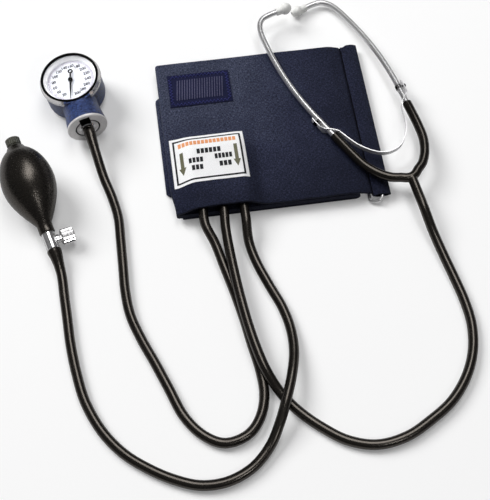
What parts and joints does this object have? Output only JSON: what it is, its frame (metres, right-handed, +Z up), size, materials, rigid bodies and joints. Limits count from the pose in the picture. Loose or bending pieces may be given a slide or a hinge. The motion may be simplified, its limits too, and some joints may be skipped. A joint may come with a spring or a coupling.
{
  "type": "aneroid sphygmomanometer",
  "caption": "Home blood pressure kit laid out: aneroid gauge and hand bulb hosed to a folded arm cuff, with a binaural headset hosed to the chestpiece inside its fold.",
  "frame": {"origin": "middle of the folded cuff's underside, on the table", "axes": "+X to the right of the layout, towards the headset, +Y away from the viewer, +Z up from the table"},
  "size_m": [0.3654, 0.4342, 0.0429],
  "materials": {
    "head_blue": "wrinkle enamel",
    "chrome": "polished",
    "black_ring": "glossy",
    "crystal": "clear",
    "dial_white": "satin print",
    "needle_black": "matt",
    "steel": "turned",
    "brass": "satin",
    "spring_blue": "blued",
    "capsule_bronze": "rolled",
    "bulb_rubber": "satin",
    "valve_plastic": "moulded",
    "disc_rubber": "matt",
    "hose_rubber": "glossy",
    "nylon": "woven nylon",
    "bladder_rubber": "matt",
    "hook": "hook tape",
    "loop": "loop pile",
    "label": "printed satin",
    "wire": "polished wire",
    "diaphragm": "thin sheet",
    "tip": "soft white",
    "clip": "dark"
  },
  "bodies": {
    "kit": {"gauge_case": "head_blue", "gauge_bezel": "chrome", "crystal_ring": "black_ring", "gauge_crystal": "crystal", "dial_plate": "dial_white", "dial_screws": "steel", "dial_feet": "brass", "movement_front_plate": "brass", "movement_back_plate": "brass", "movement_pillars": "steel", "hairspring": "spring_blue", "capsule_lower": "capsule_bronze", "capsule_upper": "capsule_bronze", "end_plate": "chrome", "hose_collar": "chrome", "gauge_nipple": "steel", "bulb_shell": "bulb_rubber", "inlet_valve_body": "valve_plastic", "inlet_valve_cage": "steel", "outlet_seat": "steel", "release_valve_body": "chrome", "valve_nipple": "steel", "hose_sleeve": "hose_rubber", "gauge_hose": "hose_rubber", "bulb_hose": "hose_rubber", "chest_hose": "hose_rubber", "cuff_cloth": "nylon", "cuff_bladder": "bladder_rubber", "bladder_ports": "bladder_rubber", "dring_sleeve": "nylon", "hook_patch": "hook", "loop_patch": "loop", "cuff_label": "label", "chestpiece_body": "steel", "chestpiece_ring": "black_ring", "chestpiece_diaphragm": "diaphragm", "yoke_junction": "hose_rubber", "yoke_coupling": "steel", "yoke_left_arm": "hose_rubber", "yoke_right_arm": "hose_rubber", "leaf_spring": "steel"},
    "needle": {"gauge_needle": "needle_black", "needle_arbor": "brass"},
    "sector": {"sector_gear": "brass", "sector_shaft": "steel"},
    "rod": {"push_rod": "steel"},
    "pad": {"valve_pad": "disc_rubber"},
    "release": {"release_screw": "steel", "release_knob": "chrome"},
    "inlet": {"inlet_disc": "disc_rubber"},
    "outlet": {"outlet_disc": "disc_rubber"},
    "left_side": {"left_ear_tube": "chrome", "left_ear_tip": "tip", "left_spring_clip": "clip"},
    "right_side": {"right_ear_tube": "chrome", "right_ear_tip": "tip", "right_spring_clip": "clip"},
    "ring": {"dring": "wire"}
  },
  "joints": [
    {"name": "needle_spin", "type": "hinge", "parent": "kit", "child": "needle", "pos_m": [-0.1625, 0.037, 0.0166], "axis": [-0.0982, -0.0358, 0.9945], "range_deg": [-337.6, 0], "deforming": ["hairspring"]},
    {"name": "sector_swing", "type": "hinge", "parent": "kit", "child": "sector", "pos_m": [-0.16183, 0.02352, 0.01618], "axis": [-0.0982, -0.0358, 0.9945], "range_deg": [0, 42.2]},
    {"name": "rod_travel", "type": "slide", "parent": "kit", "child": "rod", "axis": [-0.342, 0.9397, 0], "range_m": [0, 0.00305], "stiffness_N_per_m": 20, "deforming": ["capsule_upper"]},
    {"name": "pad_lift", "type": "slide", "parent": "kit", "child": "pad", "axis": [0.9002, 0.4136, -0.1361], "range_m": [0, 0.00075]},
    {"name": "release_turn", "type": "hinge", "parent": "pad", "child": "release", "pos_m": [-0.17008, -0.10474, 0.01084], "axis": [0.9002, 0.4136, -0.1361], "range_deg": [0, 540.5]},
    {"name": "inlet_lift", "type": "slide", "parent": "kit", "child": "inlet", "axis": [0.3822, -0.9004, -0.2079], "range_m": [0, 0.0008]},
    {"name": "outlet_lift", "type": "slide", "parent": "kit", "child": "outlet", "axis": [0.3822, -0.9004, -0.2079], "range_m": [0, 0.0008]},
    {"name": "left_spread", "type": "hinge", "parent": "kit", "child": "left_side", "pos_m": [0.09525, -0.04092, 0.0152], "axis": [0, 0, 1], "range_deg": [0, 15], "stiffness_Nm_per_rad": 1.5, "deforming": ["yoke_left_arm", "leaf_spring"]},
    {"name": "right_spread", "type": "hinge", "parent": "kit", "child": "right_side", "pos_m": [0.11467, -0.03059, 0.0152], "axis": [0, 0, -1], "range_deg": [0, 15], "stiffness_Nm_per_rad": 1.5, "deforming": ["yoke_right_arm", "leaf_spring"]},
    {"name": "dring_swing", "type": "hinge", "parent": "kit", "child": "ring", "pos_m": [0.07922, 0.01113, 0.0058], "axis": [-0.1392, 0.9903, 0], "range_deg": [0, 10]}
  ],
  "couplings": [
    {"joint": "needle_spin", "follows": "rod_travel", "rad_per_m": -1931.3},
    {"joint": "sector_swing", "follows": "rod_travel", "rad_per_m": 241.41},
    {"joint": "release_turn", "follows": "pad_lift", "rad_per_m": 12566}
  ]
}
